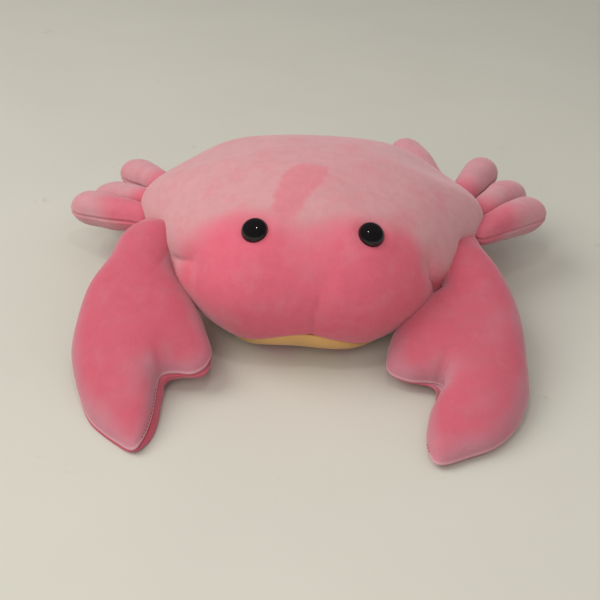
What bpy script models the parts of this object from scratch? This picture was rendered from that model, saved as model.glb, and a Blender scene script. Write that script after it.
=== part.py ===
"""Plush crab: a stuffed toy crab of short-pile velour, in metres, +Z up.

The crab lies on its flat belly, facing -Y. Its origin is the middle of the belly's resting
face. Every stuffed member is one closed form, mapped from a sphere's net of faces. From that
form come its two cloth panels, which meet at a seam, and the stuffing inside them. The limbs
are sewn into the body's side seam, so they are cut to the body's own form.
"""
import math

import bmesh
import bpy
from mathutils import Matrix, Vector
from mathutils.bvhtree import BVHTree

# Cloth and sewing
CLOTH_THICKNESS = 0.002
SEAM_GAP = 0.0004
CLEARANCE = 0.0003

# Body, seen from above at its side seam, and from the side
BODY_WIDTH = 0.264
BODY_DEPTH = 0.214
BODY_HEIGHT = 0.115
SIDE_SEAM_HEIGHT = 0.052
BELLY_SAG = 0.009
SHOULDER_FULLNESS = 0.91
BELLY_FULLNESS = 0.73
BELLY_SEAM_HEIGHT = 0.009
BELLY_SEAM_RISE = 0.021
BELLY_SEAM_NARROWNESS = 12
BODY_OUTLINE = (
    (0.00, -0.93),
    (0.38, -0.88),
    (0.70, -0.50),
    (0.93, 0.02),
    (1.00, 0.30),
    (0.86, 0.66),
    (0.55, 0.97),
    (0.00, 1.02),
)
BODY_NET = (60, 20)
BELLY_SEAM_RING = 6

# Eyes: a moulded dome and shank, held by a washer behind the cloth. Each is placed by its
# distance to the right of the middle and how far it sits below the crown
EYE_DIAMETER = 0.018
EYE_DOME_HEIGHT = 0.0075
LEFT_EYE = (-0.0345, 0.0184)
RIGHT_EYE = (0.0422, 0.0193)
EYE_SHANK_DIAMETER = 0.0045
EYE_SHANK_LENGTH = 0.014
WASHER_DIAMETER = 0.020
WASHER_THICKNESS = 0.0018
WASHER_HUB_DIAMETER = 0.009
WASHER_HUB_LENGTH = 0.005
EYE_RIB_COUNT = 3
EYE_RIB_PITCH = 0.0028
EYE_RIB_HEIGHT = 0.0003
FIRST_RIB_DEPTH = 0.0045
CLOTH_UNDER_EYE = 0.0017
EYE_SIDES = 20
EYE_DOME_STEPS = 6

# Claws: the outline runs from the tip, along the finger, the notch and the thumb to the root
CLAW_LENGTH = 0.170
CLAW_WIDTH = 0.092
CLAW_THICKNESS = 0.038
CLAW_TIP_TUCK = 0.007
CLAW_DROOP = 1.5
CLAW_STATION = 0.145
CLAW_ROOT_REACH = 0.0315
CLAW_MIDDLE = (0.53, -0.05)
CLAW_OUTLINE = (
    (0.955, 0.02),
    (0.92, 0.07),
    (0.855, 0.10),
    (0.76, 0.105),
    (0.67, 0.105),
    (0.62, 0.145),
    (0.615, 0.24),
    (0.615, 0.35),
    (0.59, 0.44),
    (0.53, 0.472),
    (0.43, 0.44),
    (0.305, 0.35),
    (0.20, 0.215),
    (0.12, 0.15),
    (0.035, 0.15),
    (-0.10, 0.14),
    (-0.18, 0.00),
    (-0.10, -0.18),
    (0.05, -0.325),
    (0.18, -0.445),
    (0.32, -0.51),
    (0.46, -0.54),
    (0.58, -0.53),
    (0.70, -0.47),
    (0.82, -0.345),
    (0.89, -0.21),
    (0.94, -0.08),
)
CLAW_NET = (54, 8)

# Legs: short paddles, rounder at the tip than at the root
LEG_LENGTH = 0.074
LEG_WIDTH = 0.0260
LEG_ROOT_WIDTH = 0.019
LEG_ROOT_END_WIDTH = 0.0115
LEG_THICKNESS = 0.028
LEG_ROOT_DEPTH = 0.010
LEG_SPACING = 0.0045
LEG_STEPS = (0.0, 0.0275, 0.052, 0.078)
LEG_DROOP = 1.3
LEG_OUTLINE = (
    (1.00, 0.00),
    (0.94, 0.36),
    (0.75, 0.50),
    (0.40, 0.43),
)
LEG_NET = (16, 6)

# The way each limb points (degrees from straight ahead), and for the legs, front to back,
# how high the tip hangs
LEFT_CLAW_ANGLE = -4.8
RIGHT_CLAW_ANGLE = -7.0
LEFT_LEG_POSES = ((124.5, 0.038), (135.2, 0.0275), (143.5, 0.0375), (165.0, 0.020))
RIGHT_LEG_POSES = ((135.5, 0.0455), (146.5, 0.0430), (156.5, 0.0495), (202.0, 0.056))

COLLECTION = "plush_crab"
PINK_TOP = (0.66, 0.33, 0.36, 1.0)
PINK_DEEP = (0.62, 0.12, 0.17, 1.0)
PINK_LEG = (0.62, 0.26, 0.31, 1.0)
YELLOW = (0.80, 0.55, 0.22, 1.0)
FIBRE = (0.88, 0.87, 0.84, 1.0)
BLACK = (0.006, 0.006, 0.007, 1.0)
NYLON = (0.80, 0.80, 0.78, 1.0)


def clear_scene():
    for item in list(bpy.data.objects):
        bpy.data.objects.remove(item, do_unlink=True)


def collection(name):
    group = bpy.data.collections.new(name)
    bpy.context.scene.collection.children.link(group)
    return group


def material(name, colour, roughness):
    paint = bpy.data.materials.new(name)
    paint.use_nodes = True
    shader = paint.node_tree.nodes["Principled BSDF"]
    shader.inputs["Base Color"].default_value = colour
    shader.inputs["Roughness"].default_value = roughness
    shader.inputs["Metallic"].default_value = 0.0
    paint.diffuse_color = colour
    return paint


def add_object(name, net, group, paint=None):
    """Turn a bmesh into a named object, shaded smooth but for its sharp edges."""
    mesh = bpy.data.meshes.new(name)
    net.to_mesh(mesh)
    net.free()
    mesh.shade_smooth()
    mesh.set_sharp_from_angle(angle=math.radians(50))
    if paint:
        mesh.materials.append(paint)
    item = bpy.data.objects.new(name, mesh)
    group.objects.link(item)
    return item


def cut(item, cutter):
    tool = item.modifiers.new("cut_" + cutter.name, "BOOLEAN")
    tool.operation = "DIFFERENCE"
    tool.object = cutter


def curve_point(points, share):
    """A point on the smooth closed curve through points, a share of the way around it."""
    place = (share % 1.0) * len(points)
    first = math.floor(place)
    t = place - first
    a, b, c, d = (Vector(points[(first + step) % len(points)]) for step in (-1, 0, 1, 2))
    return b + 0.5 * t * (c - a + t * (2 * a - 5 * b + 4 * c - d + t * (3 * (b - c) + d - a)))


def sphere_net(net_size, place):
    """A sphere's net of faces, each vertex moved to place(share around, latitude)."""
    around, up = net_size
    net = bmesh.new()
    bmesh.ops.create_uvsphere(net, u_segments=around, v_segments=up, radius=1.0)
    rings = net.verts.layers.int.new("ring")
    for vertex in net.verts:
        latitude = math.asin(max(-1.0, min(1.0, vertex.co.z)))
        share = math.atan2(vertex.co.y, vertex.co.x) / math.tau
        vertex[rings] = round((latitude / math.pi + 0.5) * up)
        vertex.co = place(share, latitude)
    bmesh.ops.triangulate(net, faces=net.faces[:])
    net.normal_update()
    return net


def moved_in(form, distance):
    """A copy of a closed form with its whole surface moved in, or out if negative."""
    net = form.copy()
    net.normal_update()
    steps = [vertex.normal * vertex.calc_shell_factor() * distance for vertex in net.verts]
    for vertex, step in zip(net.verts, steps):
        vertex.co -= step
    net.normal_update()
    return net


def cloth_panel(form, seam_ring, upper):
    """The cloth over one side of a closed form, up to the seam ring, as a closed shell."""
    net = form.copy()
    net.normal_update()
    rings = net.verts.layers.int["ring"]
    inner = net.verts.layers.float_vector.new("inner")
    for vertex in net.verts:
        vertex[inner] = vertex.co - vertex.normal * vertex.calc_shell_factor() * CLOTH_THICKNESS
    side = 1 if upper else -1
    beyond = [face for face in net.faces if any((v[rings] - seam_ring) * side < 0 for v in face.verts)]
    bmesh.ops.delete(net, geom=beyond, context="FACES")
    for vertex in net.verts:
        if vertex[rings] != seam_ring:
            continue
        away = next(edge.other_vert(vertex) for edge in vertex.link_edges
                    if edge.other_vert(vertex)[rings] != seam_ring)
        step = (away.co - vertex.co).normalized() * SEAM_GAP / 2
        vertex[inner] = vertex[inner] + step
        vertex.co += step
    outer_rim = [edge for edge in net.edges if edge.is_boundary]
    copied = bmesh.ops.duplicate(net, geom=net.verts[:] + net.edges[:] + net.faces[:])
    lining = [item for item in copied["geom"] if isinstance(item, bmesh.types.BMFace)]
    for vertex in {vertex for face in lining for vertex in face.verts}:
        vertex.co = vertex[inner]
    inner_rim = [edge for face in lining for edge in face.edges if edge.is_boundary]
    bmesh.ops.reverse_faces(net, faces=lining)
    bmesh.ops.bridge_loops(net, edges=outer_rim + list(set(inner_rim)))
    bmesh.ops.recalc_face_normals(net, faces=net.faces[:])
    if net.calc_volume(signed=True) < 0:
        bmesh.ops.reverse_faces(net, faces=net.faces[:])
    return net


def body_seam_point(share):
    """A point on the body's outline at the side seam; share 0 is the chin, 0.5 the back."""
    right = [Vector(point) for point in BODY_OUTLINE]
    left = [Vector((-point.x, point.y)) for point in reversed(right[1:-1])]
    point = curve_point(right + left, share)
    return Vector((point.x * BODY_WIDTH / 2, point.y * BODY_DEPTH / 2, 0.0))


def body_point(share, latitude):
    """A point on the body: the outline drawn in towards the crown and the flat belly."""
    rise = math.sin(latitude)
    reach = BODY_HEIGHT - SIDE_SEAM_HEIGHT if rise > 0 else SIDE_SEAM_HEIGHT + BELLY_SAG
    fullness = SHOULDER_FULLNESS if rise > 0 else BELLY_FULLNESS
    point = body_seam_point(share) * max(0.0, math.cos(latitude)) ** fullness
    point.z = max(0.0, SIDE_SEAM_HEIGHT + reach * rise)
    return point


def seam_share(distance):
    """The share of the way around the body at a distance along the side seam from the chin."""
    steps = 400
    travelled = 0.0
    share = 0.0
    while travelled < distance and share < 0.5:
        travelled += (body_seam_point(share + 0.5 / steps) - body_seam_point(share)).length
        share += 0.5 / steps
    return share


def belly_seam_latitude(share):
    """The belly seam sits low along the sides and rises under the chin."""
    chin = max(0.0, math.cos(share * math.tau)) ** BELLY_SEAM_NARROWNESS
    height = BELLY_SEAM_HEIGHT + BELLY_SEAM_RISE * chin
    return math.asin((height - SIDE_SEAM_HEIGHT) / (SIDE_SEAM_HEIGHT + BELLY_SAG))


def body_form():
    """The stuffed body's closed form, with one ring of its net on the belly seam."""
    around, up = BODY_NET
    ring_latitude = (BELLY_SEAM_RING / up - 0.5) * math.pi

    def place(share, latitude):
        from_chin = share + 0.25
        seam = belly_seam_latitude(from_chin)
        if latitude <= ring_latitude:
            part = (latitude + math.pi / 2) / (ring_latitude + math.pi / 2)
            return body_point(from_chin, -math.pi / 2 + part * (seam + math.pi / 2))
        part = (latitude - ring_latitude) / (math.pi / 2 - ring_latitude)
        return body_point(from_chin, seam + part * (math.pi / 2 - seam))

    return sphere_net(BODY_NET, place)


def heading(side, angle):
    """The level direction at an angle from straight ahead, to the right if side is 1."""
    turn = math.radians(angle)
    return Vector((side * math.sin(turn), -math.cos(turn), 0.0))


def limb_form(side, root, forward, tip_height, outline_point, middle, length, thickness, droop, net_size):
    """A limb's closed form: a padded outline that droops from the side seam to its tip."""
    across = Vector((0.0, 0.0, 1.0)).cross(forward)

    def place(share, latitude):
        edge = outline_point(-side * share)
        flat = middle + (edge - middle) * math.cos(latitude)
        along = min(1.0, max(0.0, flat.x / length))
        drop = (SIDE_SEAM_HEIGHT - tip_height) * (1.0 - (1.0 - along) ** droop)
        point = root + forward * flat.x - across * flat.y * side
        point.z = SIDE_SEAM_HEIGHT - drop + math.sin(latitude) * thickness / 2
        return point

    return sphere_net(net_size, place)


def claw_outline_point(share):
    point = curve_point(CLAW_OUTLINE, share)
    return Vector((point.x * CLAW_LENGTH, point.y * CLAW_WIDTH))


def leg_outline_point(share):
    half = [(x * LEG_LENGTH, y * LEG_WIDTH) for x, y in LEG_OUTLINE]
    half += [(0.0, LEG_ROOT_WIDTH / 2), (-LEG_ROOT_DEPTH, LEG_ROOT_END_WIDTH / 2)]
    other = [(x, -y) for x, y in reversed(half[1:])]
    return curve_point(half + other, share)


def claw_form(side, angle):
    """A claw's closed form, rooted beside the face, its tip resting on the floor."""
    root = body_seam_point(side * seam_share(CLAW_STATION))
    middle = Vector((CLAW_MIDDLE[0] * CLAW_LENGTH, CLAW_MIDDLE[1] * CLAW_WIDTH))
    tip_height = CLAW_THICKNESS / 2 - CLAW_TIP_TUCK
    return limb_form(side, root, heading(side, angle), tip_height, claw_outline_point, middle,
                     CLAW_LENGTH, CLAW_THICKNESS, CLAW_DROOP, CLAW_NET)


def leg_form(side, index, pose):
    """A leg's closed form; the legs follow one another along the seam behind the claw."""
    angle, tip_height = pose
    first = CLAW_STATION + CLAW_ROOT_REACH + LEG_ROOT_WIDTH / 2 + LEG_SPACING
    root = body_seam_point(side * seam_share(first + LEG_STEPS[index]))
    middle = Vector(((LEG_LENGTH - LEG_ROOT_DEPTH) / 2, 0.0))
    return limb_form(side, root, heading(side, angle), tip_height, leg_outline_point, middle,
                     LEG_LENGTH, LEG_THICKNESS, LEG_DROOP, LEG_NET)


def add_stuffed_pieces(names, form, seam_ring, paints, group):
    """The two cloth panels and the stuffing of one closed form."""
    upper = add_object(names[0], cloth_panel(form, seam_ring, True), group, paints[0])
    under = add_object(names[1], cloth_panel(form, seam_ring, False), group, paints[1])
    filling = add_object(names[2], moved_in(form, CLOTH_THICKNESS + CLEARANCE), group, paints[2])
    form.free()
    return upper, under, filling


def eye_frame(place, form):
    """The frame of an eye on the face: its middle on the cloth, +Z straight out of it."""
    wanted, below_crown = place
    latitude = math.asin(1.0 - below_crown / (BODY_HEIGHT - SIDE_SEAM_HEIGHT))
    low, high = -0.2, 0.2
    for _ in range(40):
        share = (low + high) / 2
        if body_point(share, latitude).x < wanted:
            low = share
        else:
            high = share
    step = 0.001
    point = body_point(low, latitude)
    along = body_point(low + step, latitude) - point
    upward = body_point(low, latitude + step) - point
    turn = along.cross(upward).normalized().to_track_quat("Z", "Y").to_matrix().to_4x4()
    on_cloth = BVHTree.FromBMesh(form).find_nearest(point)[0]
    return Matrix.Translation(on_cloth) @ turn


def turned(name, profile, segments, frame, group, paint=None):
    """A turned piece: a profile at +X, top to bottom, spun round its own Z axis."""
    mesh = bpy.data.meshes.new(name)
    points = [(x, 0.0, z) for x, z in profile]
    mesh.from_pydata(points, [(index, index + 1) for index in range(len(points) - 1)], [])
    if paint:
        mesh.materials.append(paint)
    item = bpy.data.objects.new(name, mesh)
    group.objects.link(item)
    item.matrix_world = frame
    spin = item.modifiers.new("turn", "SCREW")
    spin.steps = segments
    spin.render_steps = segments
    spin.use_merge_vertices = True
    spin.merge_threshold = 0.00001
    spin.use_smooth_shade = True
    return item


def eye_profile():
    """The dome over a flat back, and the shank with its locking ribs and bevelled end."""
    radius, shank = EYE_DIAMETER / 2, EYE_SHANK_DIAMETER / 2
    rib = shank + EYE_RIB_HEIGHT
    base = CLEARANCE
    dome = [(0.0, base + EYE_DOME_HEIGHT)]
    for step in range(1, EYE_DOME_STEPS + 1):
        turn = math.pi / 2 * step / EYE_DOME_STEPS
        dome.append((radius * math.sin(turn), base + EYE_DOME_HEIGHT * math.cos(turn)))
    ribs = []
    for index in range(EYE_RIB_COUNT):
        top = base - FIRST_RIB_DEPTH - index * EYE_RIB_PITCH
        widest = top - EYE_RIB_PITCH / 2
        ribs += [(shank, top), (rib, widest), (shank, widest - EYE_RIB_HEIGHT)]
    end = base - EYE_SHANK_LENGTH
    bevel = shank - EYE_RIB_HEIGHT * 2
    return dome + [(shank, base)] + ribs + [(shank, end + EYE_RIB_HEIGHT * 2), (bevel, end), (0.0, end)]


def washer_profile():
    """A flat ring with a hub, open through the middle for the ribbed shank."""
    bore = EYE_SHANK_DIAMETER / 2 + EYE_RIB_HEIGHT + CLEARANCE
    face = -(CLOTH_UNDER_EYE + CLEARANCE)
    back = face - WASHER_THICKNESS
    hub_end = back - WASHER_HUB_LENGTH
    return [
        (bore, face),
        (WASHER_DIAMETER / 2, face),
        (WASHER_DIAMETER / 2, back),
        (WASHER_HUB_DIAMETER / 2, back),
        (WASHER_HUB_DIAMETER / 2, hub_end),
        (bore, hub_end),
        (bore, face),
    ]


def eye_seat_profile():
    """The room an eye needs: its dome above the cloth, its shank through it, its washer below."""
    dome = EYE_DIAMETER / 2 + CLEARANCE
    hole = EYE_SHANK_DIAMETER / 2 + EYE_RIB_HEIGHT + CLEARANCE
    washer = WASHER_DIAMETER / 2 + CLEARANCE
    depth = EYE_SHANK_LENGTH + CLEARANCE
    return [
        (0.0, EYE_DOME_HEIGHT),
        (dome, EYE_DOME_HEIGHT),
        (dome, 0.0),
        (hole, 0.0),
        (hole, -CLOTH_UNDER_EYE),
        (washer, -CLOTH_UNDER_EYE),
        (washer, -depth),
        (0.0, -depth),
    ]


def as_cutter(item):
    item.hide_render = True
    item.display_type = "WIRE"
    return item


def build():
    clear_scene()
    parts = collection(COLLECTION)
    cutters = collection("cutters")
    top_velour = material("velour_top", PINK_TOP, 0.95)
    claw_velour = material("velour_claw", PINK_DEEP, 0.95)
    leg_velour = material("velour_leg", PINK_LEG, 0.95)
    belly_cloth = material("belly_cloth", YELLOW, 0.9)
    fibre = material("polyester_fibre", FIBRE, 1.0)
    black_plastic = material("black_plastic", BLACK, 0.08)
    nylon = material("nylon", NYLON, 0.4)

    # Body: cover and belly panel over the stuffing
    form = body_form()
    outside = as_cutter(add_object("body_outside", moved_in(form, -CLEARANCE), cutters))
    eye_frames = (("left", eye_frame(LEFT_EYE, form)), ("right", eye_frame(RIGHT_EYE, form)))
    cover, _, filling = add_stuffed_pieces(
        ("body_cover", "belly_panel", "body_stuffing"), form, BELLY_SEAM_RING,
        (top_velour, belly_cloth, fibre), parts)

    # Eyes: a hole through the cover, and room for the shank and washer in the stuffing
    for word, frame in eye_frames:
        turned("eye_" + word, eye_profile(), EYE_SIDES, frame, parts, black_plastic)
        turned("eye_washer_" + word, washer_profile(), EYE_SIDES, frame, parts, nylon)
        seat = as_cutter(turned("eye_seat_" + word, eye_seat_profile(), EYE_SIDES, frame, cutters))
        cut(cover, seat)
        cut(filling, seat)

    # Limbs: claws and legs, cut to the body where they are sewn in
    limbs = []
    for side, word, claw_angle, leg_poses in (
            (-1, "left", LEFT_CLAW_ANGLE, LEFT_LEG_POSES),
            (1, "right", RIGHT_CLAW_ANGLE, RIGHT_LEG_POSES)):
        limbs.append(("claw_" + word, claw_form(side, claw_angle), CLAW_NET, claw_velour))
        for index, pose in enumerate(leg_poses):
            name = f"leg_{word}_{index + 1}"
            limbs.append((name, leg_form(side, index, pose), LEG_NET, leg_velour))
    for name, limb, (_, rings), velour in limbs:
        names = (name + "_upper_panel", name + "_under_panel", name + "_stuffing")
        for piece in add_stuffed_pieces(names, limb, rings // 2, (velour, velour, fibre), parts):
            cut(piece, outside)


build()
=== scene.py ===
"""A plush crab lying on its belly: pink short-pile velour over fibre filling."""
import math

import bmesh
import bpy
import numpy as np
from mathutils import Matrix, Vector


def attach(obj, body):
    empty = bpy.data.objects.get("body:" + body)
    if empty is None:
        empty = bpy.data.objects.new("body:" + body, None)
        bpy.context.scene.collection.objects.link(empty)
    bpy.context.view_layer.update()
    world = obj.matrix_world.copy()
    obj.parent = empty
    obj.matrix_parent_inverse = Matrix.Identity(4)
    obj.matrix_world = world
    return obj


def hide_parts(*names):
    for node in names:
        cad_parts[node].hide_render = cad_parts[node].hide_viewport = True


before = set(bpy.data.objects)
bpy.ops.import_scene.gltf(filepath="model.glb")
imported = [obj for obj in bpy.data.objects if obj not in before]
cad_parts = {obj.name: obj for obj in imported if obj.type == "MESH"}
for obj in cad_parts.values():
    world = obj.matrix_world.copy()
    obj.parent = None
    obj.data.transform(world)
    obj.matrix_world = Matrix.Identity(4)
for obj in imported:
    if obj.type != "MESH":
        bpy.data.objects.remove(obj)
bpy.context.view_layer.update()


# Body cover. A stuffed dome of short-pile velour over the back, the face and the lower side
# walls, with polyester fibre inside. It has a dart at the chin, and a side seam that takes the
# limbs. The top, where the pile lies back, is painted paler than the face: painted sheen.
BODY_WIDTH = 0.264
BODY_DEPTH = 0.214
BODY_HEIGHT = 0.115
SIDE_SEAM_HEIGHT = 0.052
BELLY_SAG = 0.009
SHOULDER_FULLNESS = 0.91
BELLY_FULLNESS = 0.73
BELLY_SEAM_HEIGHT = 0.009
BELLY_SEAM_RISE = 0.021
BELLY_SEAM_NARROWNESS = 12
BODY_OUTLINE = (
    (0.00, -0.93),
    (0.38, -0.88),
    (0.70, -0.50),
    (0.93, 0.02),
    (1.00, 0.30),
    (0.86, 0.66),
    (0.55, 0.97),
    (0.00, 1.02),
    (-0.55, 0.97),
    (-0.86, 0.66),
    (-1.00, 0.30),
    (-0.93, 0.02),
    (-0.70, -0.50),
    (-0.38, -0.88),
)
BODY_AROUND = 320
BODY_RINGS = 132
BELLY_RING = 34
# the pale pinks here are painted sheen: velour where its pile lies back, and fuzz on sewn edges, shown
# lighter than their own colour
PINK_SHEEN_PALE = (0.60, 0.30, 0.315, 1.0)
PINK_DEEP = (0.68, 0.135, 0.19, 1.0)
FUZZ_SHEEN_PALE = (0.68, 0.40, 0.43, 1.0)


def smooth_row(values, place, closed):
    """Smooth readings between a row of values, at places counted in steps along the row."""
    values = np.array(values, float)
    first = np.floor(place).astype(int)
    t = (place - first).reshape(place.shape + (1,) * (values.ndim - 1))
    near = [first + step for step in (-1, 0, 1, 2)]
    near = [i % len(values) if closed else np.clip(i, 0, len(values) - 1) for i in near]
    a, b, c, d = (values[i] for i in near)
    return b + 0.5 * t * (c - a + t * (2 * a - 5 * b + 4 * c - d + t * (3 * (b - c) + d - a)))


def smooth_ring(points, share):
    """Points of the smooth closed curve through a ring of points, at shares of the way round."""
    return smooth_row(points, np.mod(share, 1.0) * len(points), True)


def side_seam_point(share):
    """The body's outline at the side seam: share 0 is the chin, 0.5 the back."""
    flat = smooth_ring(BODY_OUTLINE, np.asarray(share, float))
    return flat * (BODY_WIDTH / 2, BODY_DEPTH / 2)


def body_surface(share, latitude):
    """The stuffed body before its seams and dents: the outline drawn in to crown and belly."""
    rise = np.sin(latitude)
    up = rise > 0
    reach = np.where(up, BODY_HEIGHT - SIDE_SEAM_HEIGHT, SIDE_SEAM_HEIGHT + BELLY_SAG)
    fullness = np.where(up, SHOULDER_FULLNESS, BELLY_FULLNESS)
    flat = side_seam_point(share) * (np.maximum(0.0, np.cos(latitude)) ** fullness)[..., None]
    height = np.maximum(0.0, SIDE_SEAM_HEIGHT + reach * rise)
    return np.concatenate([flat, height[..., None]], axis=-1)


def net_normals(net):
    """The outward direction at every point of a net of rings, lowest ring first."""
    along = np.roll(net, -1, axis=1) - np.roll(net, 1, axis=1)
    upward = np.gradient(net, axis=0)
    normal = np.cross(along, upward)
    normal /= np.linalg.norm(normal, axis=2, keepdims=True) + 1e-12
    for row, near in ((0, 1), (-1, -2)):
        pole = normal[near].mean(axis=0)
        normal[row] = pole / np.linalg.norm(pole)
    return normal


def add_piece(name, mesh, paint):
    """A smooth piece of the toy from its mesh, with its material, put in the scene."""
    mesh.shade_smooth()
    mesh.materials.append(paint)
    piece = bpy.data.objects.new(name, mesh)
    bpy.context.scene.collection.objects.link(piece)
    return piece


def add_net(name, net, marks, paint):
    """A closed mesh over a net of rings whose first and last rings are single points.

    marks holds named values for every point of the net, which the material reads."""
    rings, around = net.shape[:2]
    points = [net[0, 0]] + [point for row in net[1:-1] for point in row] + [net[-1, 0]]
    last = len(points) - 1

    def at(ring, step):
        if ring == 0:
            return 0
        if ring == rings - 1:
            return last
        return 1 + (ring - 1) * around + step % around

    faces = []
    for ring in range(rings - 1):
        for step in range(around):
            corners = (at(ring, step), at(ring, step + 1), at(ring + 1, step + 1), at(ring + 1, step))
            faces.append(tuple(dict.fromkeys(corners)))
    mesh = bpy.data.meshes.new(name)
    mesh.from_pydata([tuple(map(float, point)) for point in points], [], faces)
    for mark, values in marks.items():
        flat = np.concatenate([values[0, :1], values[1:-1].ravel(), values[-1, :1]])
        mesh.attributes.new(mark, "FLOAT", "POINT").data.foreach_set("value", flat.astype(np.float32))
    return add_piece(name, mesh, paint)


def away_from(line, net):
    """How far every point of a net is from a line of points, and the share of the line there."""
    line = np.array(line, float)
    best = np.full(net.shape[:2], 9.0)
    where = np.zeros(net.shape[:2])
    for index in range(len(line) - 1):
        a, b = line[index], line[index + 1]
        t = np.clip((net - a) @ (b - a) / ((b - a) @ (b - a)), 0.0, 1.0)
        gap = np.linalg.norm(net - a - t[..., None] * (b - a), axis=2)
        closer = gap < best
        best = np.where(closer, gap, best)
        where = np.where(closer, (index + t) / (len(line) - 1), where)
    return best, where


def eased(low, high, value):
    """0 below low, 1 above high, and a smooth rise between them."""
    t = np.clip((value - low) / (high - low), 0.0, 1.0)
    return t * t * (3.0 - 2.0 * t)


def lumps(net, size, seed):
    """Gentle unevenness of fibre filling, between about -1 and 1, of a given lump size."""
    draw = np.random.default_rng(seed)
    total = np.zeros(net.shape[:2])
    for _ in range(9):
        way = draw.normal(size=3)
        way /= np.linalg.norm(way)
        total += np.sin(net @ way * math.tau / (size * draw.uniform(0.7, 1.5)) + draw.uniform(0, math.tau))
    return total / 4.0


class Finish:
    """A material in the making: its shader, and the nodes that feed it over the piece."""

    def __init__(self, name):
        self.paint = bpy.data.materials.new(name)
        self.paint.use_nodes = True
        self.nodes = self.paint.node_tree.nodes
        self.links = self.paint.node_tree.links
        self.shader = self.nodes["Principled BSDF"]
        self.place = self.nodes.new("ShaderNodeTexCoord").outputs["Object"]

    def mark(self, word):
        """The values that a net carries under this name."""
        item = self.nodes.new("ShaderNodeAttribute")
        item.attribute_name = word
        return item.outputs["Fac"]

    def noise(self, scale, detail=2.0, roughness=0.5):
        """A cloudy value between 0 and 1, finer as the scale grows."""
        item = self.nodes.new("ShaderNodeTexNoise")
        self.links.new(self.place, item.inputs["Vector"])
        item.inputs["Scale"].default_value = scale
        item.inputs["Detail"].default_value = detail
        item.inputs["Roughness"].default_value = roughness
        return item.outputs["Fac"]

    def wave(self, direction, scale, distortion=0.0):
        """A value that rises and falls in even bands."""
        item = self.nodes.new("ShaderNodeTexWave")
        item.bands_direction = direction
        item.inputs["Scale"].default_value = scale
        item.inputs["Distortion"].default_value = distortion
        self.links.new(self.place, item.inputs["Vector"])
        return item.outputs["Fac"]

    def sum_of(self, first, second, factor):
        """The first value, and the second one times a factor."""
        item = self.nodes.new("ShaderNodeMath")
        item.operation = "MULTIPLY_ADD"
        self.links.new(second, item.inputs[0])
        item.inputs[1].default_value = factor
        self.links.new(first, item.inputs[2])
        return item.outputs[0]

    def ramp(self, value, low, high, start=0.0, end=1.0, kind="SMOOTHSTEP"):
        """start where a value is below low, end where it is above high."""
        item = self.nodes.new("ShaderNodeMapRange")
        item.interpolation_type = kind
        self.links.new(value, item.inputs["Value"])
        item.inputs["From Min"].default_value = low
        item.inputs["From Max"].default_value = high
        item.inputs["To Min"].default_value = start
        item.inputs["To Max"].default_value = end
        return item.outputs["Result"]

    def blend(self, factor, first, second, mode="MIX"):
        """Two colours mixed by a factor."""
        item = self.nodes.new("ShaderNodeMix")
        item.data_type = "RGBA"
        item.blend_type = mode
        self.links.new(factor, item.inputs["Factor"])
        for socket, value in ((item.inputs["A"], first), (item.inputs["B"], second)):
            if isinstance(value, tuple):
                socket.default_value = value
            else:
                self.links.new(value, socket)
        return item.outputs["Result"]

    def colour(self, value):
        """Take the shader's colour from a value."""
        self.links.new(value, self.shader.inputs["Base Color"])

    def set(self, **values):
        """Set the shader's own sockets: Sheen_Weight stands for Sheen Weight."""
        for word, value in values.items():
            self.shader.inputs[word.replace("_", " ")].default_value = value

    def bump(self, height, strength, distance):
        """Raise the surface a little by a value."""
        item = self.nodes.new("ShaderNodeBump")
        item.inputs["Strength"].default_value = strength
        item.inputs["Distance"].default_value = distance
        self.links.new(height, item.inputs["Height"])
        self.links.new(item.outputs["Normal"], self.shader.inputs["Normal"])


BLOTCH_SCALE = 22.0
PATCH_SCALE = 60.0
STROKE_SCALE = 130.0
FIBRE_SCALE = 1500.0
STROKE_WOBBLE = 0.006
BRUSHED_EDGE = (0.0015, 0.0065)
PILE_HEIGHT = 0.0007
STROKE_SHADE = (0.82, 0.72, 0.74, 1.0)
FIBRE_SHADE = (0.80, 0.74, 0.75, 1.0)
NAP_FAR_OUTSIDE = -0.02


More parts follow.
